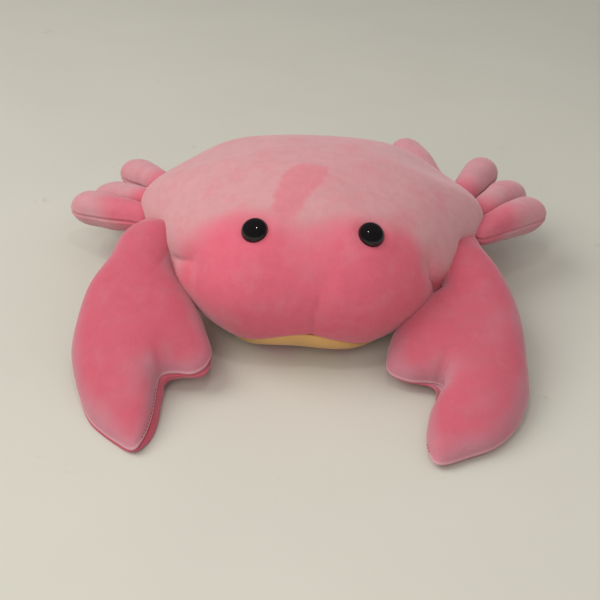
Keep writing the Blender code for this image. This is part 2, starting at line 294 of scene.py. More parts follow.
def velour(name, deep, pale, softness, blotch):
    """Short-pile velour: deep where the pile stands up, and painted pale where it lies back, which
    is painted sheen.

    One mark is how far a point lies inside the painted sheen, in metres; "brushed" is the same
    for pile stroked the other way, which shows less of the painted sheen; "ridge" is fuzz on a
    sewn edge, painted pale as sheen, 0 to 1. softness is half the width of the sheen's boundary,
    and blotch is how far that boundary wanders."""
    finish = Finish(name)
    broad = finish.noise(BLOTCH_SCALE)
    patches = finish.noise(PATCH_SCALE, 3.0, 0.55)
    strokes = finish.noise(STROKE_SCALE, 3.0, 0.6)
    fibre = finish.noise(FIBRE_SCALE, 2.0, 0.6)
    level = finish.sum_of(finish.sum_of(finish.mark("sheen_depth"), broad, blotch), strokes, STROKE_WOBBLE)
    boundary = (blotch + STROKE_WOBBLE) / 2
    pale_sheen = finish.ramp(level, boundary - softness, boundary + softness)
    stroked = finish.sum_of(finish.mark("brushed"), strokes, STROKE_WOBBLE)
    between = tuple(0.55 * d + 0.45 * p for d, p in zip(deep, pale))
    # painted sheen: pale where the pile lies back, deep elsewhere
    colour = finish.blend(pale_sheen, deep, pale)
    # pile brushed the other way shows less of the painted sheen
    colour = finish.blend(finish.ramp(stroked, *BRUSHED_EDGE, 0.0, 0.85), colour, between)
    colour = finish.blend(finish.ramp(patches, 0.45, 0.75, 0.0, 0.45), colour, between)
    # painted sheen: pale fuzz along sewn edges, from the ridge mark
    colour = finish.blend(finish.ramp(finish.mark("ridge"), 0.0, 1.0, 0.0, 0.7), colour, FUZZ_SHEEN_PALE)
    colour = finish.blend(finish.ramp(strokes, 0.35, 0.7, 0.0, 0.24), colour, STROKE_SHADE, "MULTIPLY")
    colour = finish.blend(finish.ramp(fibre, 0.3, 0.75, 0.0, 0.30), colour, FIBRE_SHADE, "MULTIPLY")
    finish.colour(colour)
    finish.set(Roughness=0.92, Specular_IOR_Level=0.12, Sheen_Weight=0.42, Sheen_Roughness=0.40,
               Sheen_Tint=(1.0, 0.80, 0.83, 1.0))
    finish.bump(finish.sum_of(strokes, fibre, 0.7), 0.5, PILE_HEIGHT)
    return finish.paint


def belly_seam_latitude(share):
    """Where the belly's seam runs: low all round, and higher under the chin."""
    chin = np.maximum(0.0, np.cos(share * math.tau)) ** BELLY_SEAM_NARROWNESS
    height = BELLY_SEAM_HEIGHT + BELLY_SEAM_RISE * chin
    return np.arcsin((height - SIDE_SEAM_HEIGHT) / (SIDE_SEAM_HEIGHT + BELLY_SAG))


body_share = np.arange(BODY_AROUND)[None, :] / BODY_AROUND
seam_latitude = belly_seam_latitude(body_share)
low_part = np.arange(BELLY_RING + 1)[:, None] / BELLY_RING
low_rows = -math.pi / 2 + low_part * (seam_latitude + math.pi / 2)
high_part = np.arange(1, BODY_RINGS - BELLY_RING + 1)[:, None] / (BODY_RINGS - BELLY_RING)
high_rows = seam_latitude + high_part * (math.pi / 2 - seam_latitude)
body_latitude = np.concatenate([low_rows, high_rows])
body_share = np.broadcast_to(body_share, body_latitude.shape)
body_net = body_surface(body_share, body_latitude)

SIDE_SEAM_START = 0.175
SIDE_SEAM_DEPTH = 0.0011
SIDE_SEAM_WIDTH = 0.0011
SIDE_VALLEY_DEPTH = 0.0016
SIDE_VALLEY_WIDTH = 0.009
SEAM_RISE_AT_CLAW = 0.012
SEAM_RISE_PLACE = 0.188
SEAM_RISE_WIDTH = 0.016
CHIN_DART = (
    (0.0114, -0.0946, 0.0728),
    (0.0092, -0.0982, 0.0632),
    (0.0075, -0.0996, 0.0523),
    (0.0061, -0.0983, 0.0406),
    (0.0055, -0.0959, 0.0329),
    (0.0052, -0.0925, 0.0250),
)
DART_DEPTH = 0.0017
DART_WIDTH = 0.0010
DART_VALLEY_DEPTH = 0.0011
DART_VALLEY_WIDTH = 0.009
CLAW_PUCKERS = (
    ((-0.0950, -0.0491, 0.0580), (-0.0898, -0.0553, 0.0610), (-0.0803, -0.0642, 0.0672)),
    ((0.0950, -0.0510, 0.0430), (0.0891, -0.0574, 0.0561), (0.0861, -0.0567, 0.0678)),
)
PUCKER_DEPTH = 0.0030
PUCKER_WIDTH = 0.0022
PUCKER_VALLEY_DEPTH = 0.0035
PUCKER_VALLEY_WIDTH = 0.010
EYE_PLACES = {"left": (-0.0345, 0.0184), "right": (0.0422, 0.0193)}
EYE_DENT_DEPTH = 0.0012
EYE_DENT_WIDTH = 0.011
EYE_ROLL_HEIGHT = 0.0006
EYE_ROLL_RADIUS = 0.0145
EYE_ROLL_WIDTH = 0.005
BELLY_SEAM_DEPTH = 0.0012
BELLY_SEAM_RINGS = 1.6
BODY_UNEVENNESS = 0.0007
BODY_LUMP_SIZE = 0.075
BODY_LOWEST = 0.0012


def eye_seat(place):
    """Where an eye sits on the face, and the way it looks out."""
    wanted, below_crown = place
    latitude = math.asin(1.0 - below_crown / (BODY_HEIGHT - SIDE_SEAM_HEIGHT))
    low, high = -0.2, 0.2
    for _ in range(40):
        share = (low + high) / 2
        if body_surface(np.array(share), np.array(latitude))[0] < wanted:
            low = share
        else:
            high = share
    step = 0.001
    point = body_surface(np.array(low), np.array(latitude))
    along = body_surface(np.array(low + step), np.array(latitude)) - point
    upward = body_surface(np.array(low), np.array(latitude + step)) - point
    out = np.cross(along, upward)
    return point, out / np.linalg.norm(out)


eye_seats = {side: eye_seat(place) for side, place in EYE_PLACES.items()}


def hump(size, gap, width):
    """A rounded ridge or dip of a given size, at a distance from its middle line."""
    return size * np.exp(-(gap / width) ** 2)


# the crown falls away more at its two back corners than a plain dome does
SLACK_SHOULDERS = ((-0.088, 0.036), (0.092, 0.040))
SLACK_DEPTH = 0.0075
SLACK_WIDTH = 0.034
SLACK_HEIGHTS = (0.055, 0.085)
for slack_x, slack_y in SLACK_SHOULDERS:
    off = np.hypot(body_net[..., 0] - slack_x, body_net[..., 1] - slack_y)
    body_net[..., 2] -= hump(SLACK_DEPTH, off, SLACK_WIDTH) * eased(*SLACK_HEIGHTS, body_net[..., 2])
body_out = net_normals(body_net)

# the side seam runs from each claw round the back, in a shallow valley
from_chin = np.minimum(body_share, 1.0 - body_share)
seam_line = eased(SIDE_SEAM_START - 0.005, SIDE_SEAM_START + 0.01, from_chin)
seam_height = SIDE_SEAM_HEIGHT + hump(SEAM_RISE_AT_CLAW, from_chin - SEAM_RISE_PLACE, SEAM_RISE_WIDTH)
off_seam = body_net[..., 2] - seam_height
proud = -hump(SIDE_SEAM_DEPTH, off_seam, SIDE_SEAM_WIDTH) * seam_line
proud -= hump(SIDE_VALLEY_DEPTH, off_seam, SIDE_VALLEY_WIDTH) * seam_line
dart_gap, dart_share = away_from(CHIN_DART, body_net)
proud -= hump(DART_DEPTH, dart_gap, DART_WIDTH) * eased(0.0, 0.35, dart_share)
proud -= hump(DART_VALLEY_DEPTH, dart_gap, DART_VALLEY_WIDTH)
for line in CLAW_PUCKERS:
    gap, share = away_from(line, body_net)
    proud -= hump(PUCKER_DEPTH, gap, PUCKER_WIDTH) * (1.0 - 0.6 * share)
    proud -= hump(PUCKER_VALLEY_DEPTH, gap, PUCKER_VALLEY_WIDTH)
for point, _ in eye_seats.values():
    gap = np.linalg.norm(body_net - point, axis=2)
    proud -= hump(EYE_DENT_DEPTH, gap, EYE_DENT_WIDTH)
    proud += hump(EYE_ROLL_HEIGHT, gap - EYE_ROLL_RADIUS, EYE_ROLL_WIDTH)
belly_gap = np.abs(np.arange(BODY_RINGS + 1) - BELLY_RING)[:, None] * np.ones_like(body_share)
proud -= hump(BELLY_SEAM_DEPTH, belly_gap, BELLY_SEAM_RINGS)
proud += BODY_UNEVENNESS * lumps(body_net, BODY_LUMP_SIZE, 5) * eased(0.004, 0.03, body_net[..., 2])

# painted sheen: the pale pile colour covers the top, down to the side seam; the boundary dips between the
# eyes
SHEEN_EDGE = (
    (-0.135, -0.052),
    (-0.088, -0.054),
    (-0.070, -0.056),
    (-0.045, -0.055),
    (-0.025, -0.060),
    (0.000, -0.068),
    (0.025, -0.062),
    (0.048, -0.054),
    (0.065, -0.054),
    (0.080, -0.056),
    (0.092, -0.053),
    (0.135, -0.046),
)
BRUSHED_PATCH = (
    (-0.0129, -0.0085),
    (-0.0032, -0.0060),
    (0.0060, -0.0085),
    (0.0150, -0.0080),
    (0.0125, -0.0185),
    (0.0105, -0.0280),
    (0.0040, -0.0390),
    (0.0000, -0.0466),
    (-0.0052, -0.0601),
    (-0.0172, -0.0671),
    (-0.0250, -0.0560),
    (-0.0239, -0.0387),
    (-0.0203, -0.0234),
)
edge_x, edge_y = np.array(SHEEN_EDGE).T
sheen_depth = body_net[..., 1] - np.interp(body_net[..., 0], edge_x, edge_y)
# the boundary is more gradual between the eyes, and sharp along the side seam
sheen_depth /= 1.0 + hump(1.3, body_net[..., 0], 0.042) * (sheen_depth < 0)
sheen_depth = np.minimum(sheen_depth, (off_seam - 0.001) * (1.6 + 3.0 * seam_line))


def inside_by(outline, x, y):
    """How far points lie inside a closed outline, negative outside."""
    ring = np.array(outline, float)
    best = np.full(x.shape, 9.0)
    within = np.zeros(x.shape, bool)
    for a, b in zip(ring, np.roll(ring, -1, axis=0)):
        step = b - a
        t = np.clip(((x - a[0]) * step[0] + (y - a[1]) * step[1]) / (step @ step), 0.0, 1.0)
        best = np.minimum(best, np.hypot(x - a[0] - t * step[0], y - a[1] - t * step[1]))
        crosses = (a[1] > y) != (b[1] > y)
        at_x = a[0] + (y - a[1]) / np.where(step[1] == 0, 1e-9, step[1]) * step[0]
        within ^= crosses & (x < at_x)
    return np.where(within, best, -best)


# a patch between the eyes where the pile is brushed the other way, so the painted sheen is weaker there
brushed = inside_by(BRUSHED_PATCH, body_net[..., 0], body_net[..., 1])
brushed = np.where(body_net[..., 2] > SIDE_SEAM_HEIGHT, brushed, NAP_FAR_OUTSIDE)
ridge = np.zeros(sheen_depth.shape)
body_velour = velour("body_velour", PINK_DEEP, PINK_SHEEN_PALE, 0.011, 0.020)
body_net = body_net + body_out * proud[..., None]
body_net[..., 2] = np.maximum(body_net[..., 2], BODY_LOWEST)
body = add_net("body_skin", body_net, {"sheen_depth": sheen_depth, "brushed": brushed, "ridge": ridge}, body_velour)
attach(body, "root")
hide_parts("body_cover", "body_stuffing")


# Belly panel. One piece of thin, smooth yellow cloth under the body, sewn to the velour along
# a low seam. It lies flat where the crab rests, and shows as a sliver under the chin.
CLOTH_YELLOW = (0.62, 0.36, 0.13, 1.0)
CLOTH_UNEVENNESS = 0.14
KNIT_ROWS = 520.0 / math.tau
KNIT_COLUMNS = 420.0 / math.tau
BELLY_THICKNESS = 0.0022
BELLY_BULGE = 0.0016
BELLY_BULGE_RINGS = 9.0
BELLY_RIPPLE = 0.0006
BELLY_RIPPLE_SIZE = 0.04
BELLY_EDGE_DEPTH = 0.0010
BELLY_EDGE_RINGS = 1.2


def shade_of(colour, factor):
    """A colour made lighter or darker."""
    return tuple(min(1.0, part * factor) for part in colour[:3]) + (1.0,)


def knit_cloth(name, colour):
    """Thin smooth knit: a fine grid of loops, faintly uneven in colour."""
    finish = Finish(name)
    rows = finish.wave("X", KNIT_ROWS, 0.6)
    columns = finish.wave("Y", KNIT_COLUMNS, 0.6)
    dark, light = shade_of(colour, 1.0 - CLOTH_UNEVENNESS), shade_of(colour, 1.0 + CLOTH_UNEVENNESS)
    finish.colour(finish.blend(finish.noise(60.0), dark, light))
    finish.set(Roughness=0.85, Specular_IOR_Level=0.15, Sheen_Weight=0.15)
    finish.bump(finish.sum_of(rows, columns, 1.0), 0.25, 0.0002)
    return finish.paint


low_net = body_surface(body_share[:BELLY_RING + 1], body_latitude[:BELLY_RING + 1])
low_out = net_normals(body_surface(body_share, body_latitude))[:BELLY_RING + 1]
rings_in = (BELLY_RING - np.arange(BELLY_RING + 1))[:, None] * np.ones_like(body_share[:BELLY_RING + 1])
bulge = BELLY_BULGE * np.sin(math.pi * np.clip(rings_in / BELLY_BULGE_RINGS, 0.0, 1.0))
ripple = BELLY_RIPPLE * lumps(low_net, BELLY_RIPPLE_SIZE, 8) * eased(0.0, 3.0, rings_in)
proud = bulge + ripple - hump(BELLY_EDGE_DEPTH, rings_in, BELLY_EDGE_RINGS)
outer = low_net + low_out * proud[..., None]
outer[..., 2] = np.maximum(outer[..., 2], 0.0)
inner = low_net - low_out * BELLY_THICKNESS
inner[..., 2] = np.maximum(inner[..., 2], BELLY_THICKNESS)
belly_net = np.concatenate([outer, inner[::-1]])
belly = add_net("belly_skin", belly_net, {}, knit_cloth("belly_knit", CLOTH_YELLOW))
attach(belly, "root")
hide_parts("belly_panel")


# Eyes. Black plastic domes, polished, each with a shank through the velour and a washer
# pressed on it inside. The washers pull them a little into the face.
EYE_DIAMETER = 0.018
EYE_DOME_HEIGHT = 0.0068
EYE_RIM_HEIGHT = 0.0012
EYE_SHANK_DIAMETER = 0.0045
EYE_SHANK_LENGTH = 0.014
EYE_SINK = 0.0007
EYE_FOOT_SHARE = 0.97
EYE_SIDES = 64
EYE_DOME_STEPS = 18


def polished_black(name):
    """Moulded black plastic: deep gloss with very faint handling marks."""
    finish = Finish(name)
    marks = finish.noise(420.0, 3.0)
    gloss = finish.ramp(marks, 0.0, 1.0, 0.05, 0.13, "LINEAR")
    finish.links.new(gloss, finish.shader.inputs["Roughness"])
    finish.colour(finish.blend(marks, (0.0035, 0.0030, 0.0035, 1.0), (0.0085, 0.0065, 0.0070, 1.0)))
    finish.set(Specular_IOR_Level=0.5)
    return finish.paint


def turned(name, profile, sides, seat, out, paint):
    """A turned piece: a profile from its top on the axis to its bottom, set on a seat."""
    mesh = bpy.data.meshes.new(name)
    mesh.from_pydata([(x, 0.0, z) for x, z in profile], [(i, i + 1) for i in range(len(profile) - 1)], [])
    net = bmesh.new()
    net.from_mesh(mesh)
    bmesh.ops.spin(net, geom=net.verts[:] + net.edges[:], axis=(0, 0, 1), cent=(0, 0, 0),
                   steps=sides, angle=math.tau, use_merge=True)
    bmesh.ops.remove_doubles(net, verts=net.verts[:], dist=1e-6)
    bmesh.ops.recalc_face_normals(net, faces=net.faces[:])
    turn = Vector(out).to_track_quat("Z", "Y").to_matrix().to_4x4()
    net.transform(Matrix.Translation(Vector(seat)) @ turn)
    net.to_mesh(mesh)
    net.free()
    return add_piece(name, mesh, paint)


eye_black = polished_black("eye_black")
eye_radius = EYE_DIAMETER / 2
shank_radius = EYE_SHANK_DIAMETER / 2
eye_profile = [(0.0, EYE_RIM_HEIGHT + EYE_DOME_HEIGHT)]
for step in range(1, EYE_DOME_STEPS + 1):
    turn = math.pi / 2 * step / EYE_DOME_STEPS
    eye_profile.append((eye_radius * math.sin(turn), EYE_RIM_HEIGHT + EYE_DOME_HEIGHT * math.cos(turn)))
eye_profile += [
    (eye_radius * EYE_FOOT_SHARE, 0.0),
    (shank_radius, 0.0),
    (shank_radius, -EYE_SHANK_LENGTH),
    (0.0, -EYE_SHANK_LENGTH),
]
for side, (point, out) in eye_seats.items():
    seat = point - out * (EYE_DENT_DEPTH + EYE_SINK)
    eye = turned("eye_dome_" + side, eye_profile, EYE_SIDES, seat, out, eye_black)
    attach(eye, "root")
    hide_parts("eye_" + side, "eye_washer_" + side)


# Claws. Two flat stuffed mitts, each sewn from an upper and an under panel of velour along one
# seam round the edge. They are stitched into the side seam beside the face and lie on the floor.
CLAW_LENGTH = 0.170
CLAW_WIDTH = 0.092
CLAW_HEIGHTS = (0.023, 0.015)
CLAW_TIP_HEIGHTS = {"left": 0.0032, "right": 0.0028}
CLAW_ROLLS = {"left": 0.32, "right": 0.0}
CLAW_DROOPS = {"left": 1.75, "right": 2.5}
CLAW_JUTS = {"left": 0.0120, "right": 0.0}
CLAW_SWELLINGS = {"left": 0.06, "right": 0.0}
CLAW_ROOT_LIFTS = {"left": 0.012, "right": 0.004}
CLAW_CROWDING = 1.6
CLAW_SQUARENESS = (0.45, 0.75)
SEAM_CLEARANCE = 0.0012
WALL_SQUARENESS = 0.30
CLAW_STATION = 0.145
CLAW_MIDDLE = (0.42, -0.18)
CLAW_OUTLINES = {
    "left": (
        (0.934, -0.055),
        (0.936, -0.012),
        (0.908, 0.022),
        (0.850, 0.054),
        (0.770, 0.072),
        (0.675, 0.078),
        (0.614, 0.094),
        (0.591, 0.142),
        (0.592, 0.22),
        (0.606, 0.34),
        (0.573, 0.438),
        (0.505, 0.471),
        (0.419, 0.425),
        (0.287, 0.324),
        (0.180, 0.190),
        (0.109, 0.142),
        (0.033, 0.19),
        (-0.04, 0.23),
        (-0.11, 0.22),
        (-0.18, 0.14),
        (-0.22, 0.02),
        (-0.19, -0.12),
        (-0.085, -0.233),
        (0.049, -0.349),
        (0.156, -0.460),
        (0.278, -0.528),
        (0.394, -0.555),
        (0.501, -0.542),
        (0.634, -0.483),
        (0.769, -0.372),
        (0.844, -0.258),
        (0.903, -0.130),
    ),
    "right": (
        (0.942, 0.03),
        (0.900, 0.100),
        (0.813, 0.127),
        (0.699, 0.125),
        (0.620, 0.108),
        (0.572, 0.10),
        (0.550, 0.15),
        (0.548, 0.296),
        (0.520, 0.434),
        (0.467, 0.473),
        (0.363, 0.462),
        (0.247, 0.370),
        (0.185, 0.249),
        (0.140, 0.125),
        (0.098, 0.135),
        (0.031, 0.140),
        (-0.07, 0.16),
        (-0.16, 0.13),
        (-0.23, 0.04),
        (-0.22, -0.06),
        (-0.14, -0.12),
        (-0.057, -0.180),
        (0.038, -0.293),
        (0.156, -0.444),
        (0.297, -0.512),
        (0.441, -0.553),
        (0.579, -0.547),
        (0.699, -0.471),
        (0.819, -0.323),
        (0.887, -0.151),
    ),
}
CLAW_ANGLES = {"left": -4.8, "right": -7.0}
CLAW_FOLDS = {
    "left": ((0.62, 0.13), (0.52, 0.06)),
    "right": ((0.585, 0.11), (0.53, 0.07), (0.46, 0.045)),
}
FINGER_START = (0.52, 0.66)
FINGER_END = (1.0, 0.88)
ROOT_EASE = 0.06
ROOT_LIFT_PLACE = 0.04
ROOT_LIFT_WIDTH = 0.12
ROOT_LIFT_EDGE = (-0.035, 0.012)
CLAW_SEAM_DEPTH = 0.0010
CLAW_SEAM_WIDTH = 0.0007
CLAW_SEAM_PLACE = -0.0003
CLAW_ROLL_WIDTH = 0.0010
CLAW_UPPER_ROLL = (0.0006, 0.0016)
CLAW_UNDER_ROLL = (0.0003, -0.0020)
CLAW_FUZZ_PLACE = 0.0012
CLAW_FOLD_DEPTHS = {"left": 0.0008, "right": 0.0045}
CLAW_FOLD_WIDTH = 0.0030
CLAW_FOLD_VALLEY_SHARE = 0.6
CLAW_FOLD_VALLEY_WIDTH = 0.010
CLAW_AROUND = 560
CLAW_RINGS = 72
CLAW_UNEVENNESS = 0.0009
CLAW_LUMP_SIZE = 0.05
CLAW_LOWEST = 0.0004
# the pale claw pink is painted sheen, laid on the panel edges and the fold lips
CLAW_PINK_DEEP = (0.565, 0.110, 0.156, 1.0)
CLAW_PINK_SHEEN_PALE = (0.50, 0.222, 0.262, 1.0)
CLAW_SHEEN_WIDTH = 0.0085
CLAW_LIP_SHEEN = 0.014
CLAW_LIP_PLACE = 0.006


def seam_share(distance):
    """The share of the way round the body at a distance along the side seam from the chin."""
    shares = np.linspace(0.0, 0.5, 2001)
    steps = np.linalg.norm(np.diff(side_seam_point(shares), axis=0), axis=1)
    return float(np.interp(distance, np.concatenate([[0.0], np.cumsum(steps)]), shares))


def puff(outline, middle, rings=24, around=160):
    """How far cloth over a flat outline bulges when it is filled: the soap-film curve over it.

    It is given as a share of its highest value, divided by one less the square of how far out
    a point is, on a net of rings from the middle to the edge. That quotient is smooth."""
    out = np.arange(rings + 1) / rings
    edge = outline(np.arange(around) / around)
    points = np.concatenate([middle[None]] + [middle + r * (edge - middle) for r in out[1:]])
    steps = np.arange(around)
    after = (steps + 1) % around
    corners = [np.stack([np.zeros(around, int), 1 + steps, 1 + after], axis=1)]
    for ring in range(rings - 1):
        low, high = 1 + ring * around, 1 + (ring + 1) * around
        corners.append(np.stack([low + steps, high + steps, high + after], axis=1))
        corners.append(np.stack([low + steps, high + after, low + after], axis=1))
    corners = np.concatenate(corners)
    count = len(points)
    stiffness = np.zeros((count, count))
    load = np.zeros(count)
    a, b, c = (points[corners[:, k]] for k in range(3))
    area = 0.5 * np.abs((b - a)[:, 0] * (c - a)[:, 1] - (b - a)[:, 1] * (c - a)[:, 0])
    sides = [c - b, a - c, b - a]
    for i in range(3):
        np.add.at(load, corners[:, i], area / 3)
        for j in range(3):
            pull = (sides[i] * sides[j]).sum(axis=1) / (4 * area)
            np.add.at(stiffness, (corners[:, i], corners[:, j]), pull)
    free = count - around
    height = np.zeros(count)
    height[:free] = np.linalg.solve(stiffness[:free, :free], load[:free])
    height /= height.max()
    grid = np.concatenate([np.full((1, around), height[0]), height[1:].reshape(rings, around)])
    grid[:-1] /= (1.0 - out[:-1] ** 2)[:, None]
    grid[-1] = 2 * grid[-2] - grid[-3]
    return grid


def limb_net(side, root, angle, tip_height, outline, middle, length, heights, droop, around, rings,
             crowd, squareness=(0.42, 0.42), roll=0.0, jut=0.0, swelling=0.0, lift=0.0):
    """A stuffed limb before its seam: a puffed outline drooping from the side seam to its tip.

    heights and squareness belong to its upper and under panels: less is squarer. crowd draws the
    rings towards the seam. roll lifts the inner edge towards the tip. The under panel swells out
    past the seam there: by a share, swelling, all along the inner edge, and by a width, jut,
    along the finger. lift raises the inner side of the root over the body."""
    turn = math.radians(angle)
    forward = np.array([side * math.sin(turn), -math.cos(turn)])
    across = np.array([-forward[1], forward[0]])
    t = np.linspace(-1.0, 1.0, rings + 1)
    latitude = math.pi / 2 * np.sign(t) * np.abs(t) ** crowd
    share = -side * np.arange(around) / around
    out = np.cos(latitude)
    out[[0, -1]] = 0.0
    edge = outline(share)[None]
    under = np.where(latitude < 0, np.sin(2 * np.abs(latitude)), 0.0)[:, None]
    under = under * np.clip(0.5 + edge[..., 1] / 0.06, 0.0, 1.0)
    flat = middle + (edge - middle) * (out[:, None] * (1.0 + swelling * under))[..., None]
    edge_along = edge[..., 0] / length
    finger = eased(*FINGER_START, edge_along) * eased(*FINGER_END, edge_along)
    flat[..., 1] += jut * under * finger * eased(-0.01, 0.0, edge[..., 1])
    grid = puff(outline, middle)
    bulge = smooth_row(grid, out * (len(grid) - 1), False)
    bulge = smooth_row(bulge.T, np.mod(share, 1.0) * grid.shape[1], True).T
    bulge = np.maximum(0.0, bulge * (1.0 - out[:, None] ** 2))
    wall = finger * (jut > 0)
    under_squareness = squareness[1] + (WALL_SQUARENESS - squareness[1]) * wall
    power = np.where(latitude[:, None] > 0, squareness[0], under_squareness)
    reach = np.where(latitude > 0, heights[0], -heights[1])[:, None]
    along = flat[..., 0] / length
    along = np.minimum((along + np.sqrt(along ** 2 + ROOT_EASE ** 2)) / 2, 1.0)
    drop = (SIDE_SEAM_HEIGHT - tip_height) * (1.0 - (1.0 - along) ** droop)
    level = root + flat[..., :1] * forward - flat[..., 1:] * across * side
    height = SIDE_SEAM_HEIGHT - drop + roll * along ** 2 * flat[..., 1] - SEAM_CLEARANCE
    height = SEAM_CLEARANCE + (height + np.sqrt(height ** 2 + 0.002 ** 2)) / 2
    height += reach * bulge ** power
    near_root = hump(1.0, flat[..., 0] / length - ROOT_LIFT_PLACE, ROOT_LIFT_WIDTH)
    height += lift * near_root * eased(*ROOT_LIFT_EDGE, flat[..., 1])
    return np.concatenate([level, height[..., None]], axis=-1), flat


def claw_outline(word):
    """The flat outline of one claw, given by the share of the way round it."""
    return lambda share: smooth_ring(CLAW_OUTLINES[word], share) * (CLAW_LENGTH, CLAW_WIDTH)


def seam_distance(net):
    """How far every point of a limb's net is from its seam ring, over the cloth, negative below."""
    steps = np.linalg.norm(np.diff(net, axis=0), axis=2)
    run = np.concatenate([np.zeros((1, net.shape[1])), np.cumsum(steps, axis=0)])
    return run - run[net.shape[0] // 2]


# the closing seam's stitches show along part of each finger's inner edge
STITCH_PITCH = 0.0027
STITCH_LENGTH = 0.0017
STITCH_RADIUS = 0.00035
STITCH_OFFSET = 0.0030
STITCHED_PARTS = {"left": (0.66, 0.92), "right": (0.84, 0.915)}
# the thread is painted darker than the velour: painted shade of the small pinches the stitches make
THREAD_PINK_SHADED = (0.36, 0.07, 0.10, 1.0)


def thread(name, colour):
    """Twisted polyester sewing thread."""
    finish = Finish(name)
    finish.colour(finish.blend(finish.wave("DIAGONAL", 900.0), shade_of(colour, 0.8), colour))
    finish.set(Roughness=0.6)
    return finish.paint


def stitch_row(name, path, out, paint):
    """A row of short stitches lying on a path of points, whose outward directions are given."""
    run = np.concatenate([[0.0], np.cumsum(np.linalg.norm(np.diff(path, axis=0), axis=1))])
    net = bmesh.new()
    for middle in np.arange(STITCH_PITCH, run[-1] - STITCH_PITCH, STITCH_PITCH):
        point, nearly, up = (
            np.array([np.interp(at, run, column) for column in rows.T])
            for at, rows in ((middle, path), (middle + STITCH_LENGTH / 2, path), (middle, out))
        )
        along = Vector(nearly - point).normalized()
        up = Vector(up).normalized()
        turn = Matrix((along, up.cross(along), up)).transposed().to_4x4()
        size = Matrix.Diagonal((STITCH_LENGTH / 2, STITCH_RADIUS, STITCH_RADIUS, 1.0))
        lie = Matrix.Translation(point + up * STITCH_RADIUS * 0.3)
        bmesh.ops.create_uvsphere(net, u_segments=10, v_segments=6, radius=1.0, matrix=lie @ turn @ size)
    mesh = bpy.data.meshes.new(name)
    net.to_mesh(mesh)
    net.free()
    return add_piece(name, mesh, paint)


# sewing thread, its colour darkened as painted shade of the stitch pinches
shaded_pink_thread = thread("shaded_pink_thread", THREAD_PINK_SHADED)
claw_velour = velour("claw_velour", CLAW_PINK_DEEP, CLAW_PINK_SHEEN_PALE, 0.011, 0.028)
for word, side in (("left", -1), ("right", 1)):
    middle = np.array(CLAW_MIDDLE) * (CLAW_LENGTH, CLAW_WIDTH)
    root = side_seam_point(side * seam_share(CLAW_STATION))
    net, flat = limb_net(side, root, CLAW_ANGLES[word], CLAW_TIP_HEIGHTS[word], claw_outline(word), middle,
                         CLAW_LENGTH, CLAW_HEIGHTS, CLAW_DROOPS[word], CLAW_AROUND, CLAW_RINGS,
                         CLAW_CROWDING, CLAW_SQUARENESS, CLAW_ROLLS[word], CLAW_JUTS[word],
                         CLAW_SWELLINGS[word], CLAW_ROOT_LIFTS[word])
    out = net_normals(net)
    off = seam_distance(net)
    fold = np.array(CLAW_FOLDS[word]) * (CLAW_LENGTH, CLAW_WIDTH)
    fold_gap, fold_share = away_from(fold, flat)
    upper = off > 0
    # the seam is a groove between two rolls of cloth, the upper one the fuller
    proud = -hump(CLAW_SEAM_DEPTH, off - CLAW_SEAM_PLACE, CLAW_SEAM_WIDTH)
    for roll_height, roll_place in (CLAW_UPPER_ROLL, CLAW_UNDER_ROLL):
        proud += hump(roll_height, off - roll_place, CLAW_ROLL_WIDTH)
    fold_depth = CLAW_FOLD_DEPTHS[word] * upper * (1.0 - fold_share)
    proud -= hump(fold_depth, fold_gap, CLAW_FOLD_WIDTH)
    proud -= hump(fold_depth * CLAW_FOLD_VALLEY_SHARE, fold_gap, CLAW_FOLD_VALLEY_WIDTH)
    proud += CLAW_UNEVENNESS * lumps(net, CLAW_LUMP_SIZE, 11 + side)
    net = net + out * proud[..., None]
    net[..., 2] = np.maximum(net[..., 2], CLAW_LOWEST)
    # painted sheen: pale pile colour along the upper panel's edge and on the lips of the fold
    sheen_depth = np.where(upper, CLAW_SHEEN_WIDTH - np.abs(off) * 0.75, -0.008)
    sheen_depth = np.maximum(sheen_depth, -CLAW_SHEEN_WIDTH)
    lip = hump(1.0, fold_gap - CLAW_LIP_PLACE, CLAW_LIP_PLACE) * (1.0 - fold_share)
    sheen_depth = np.where(upper, np.maximum(sheen_depth, CLAW_LIP_SHEEN * lip - CLAW_SHEEN_WIDTH), sheen_depth)
    marks = {
        "sheen_depth": sheen_depth,
        "brushed": np.full(sheen_depth.shape, NAP_FAR_OUTSIDE),
        # painted sheen: pale fuzz on the seam's upper roll
        "ridge": hump(1.0, off - CLAW_FUZZ_PLACE, CLAW_FUZZ_PLACE),
    }
    claw = add_net(f"claw_{word}_skin", net, marks, claw_velour)
    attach(claw, "root")
    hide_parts(*(f"claw_{word}_{piece}" for piece in ("upper_panel", "under_panel", "stuffing")))
    seam_ring = CLAW_RINGS // 2
    ring = seam_ring + int(np.argmin(np.abs(off[seam_ring:, CLAW_AROUND // 8] - STITCH_OFFSET)))
    along = flat[ring, :, 0] / CLAW_LENGTH
    first, last = STITCHED_PARTS[word]
    chosen = (along > first) & (along < last) & (flat[ring, :, 1] > 0.0)
    order = np.argsort(along[chosen])
    path = net[ring][chosen][order]
    path_out = net_normals(net)[ring][chosen][order]
    stitches = stitch_row(f"claw_{word}_stitches", path, path_out, shaded_pink_thread)
    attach(stitches, "root")
    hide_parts(f"claw_{word}_upper_panel")


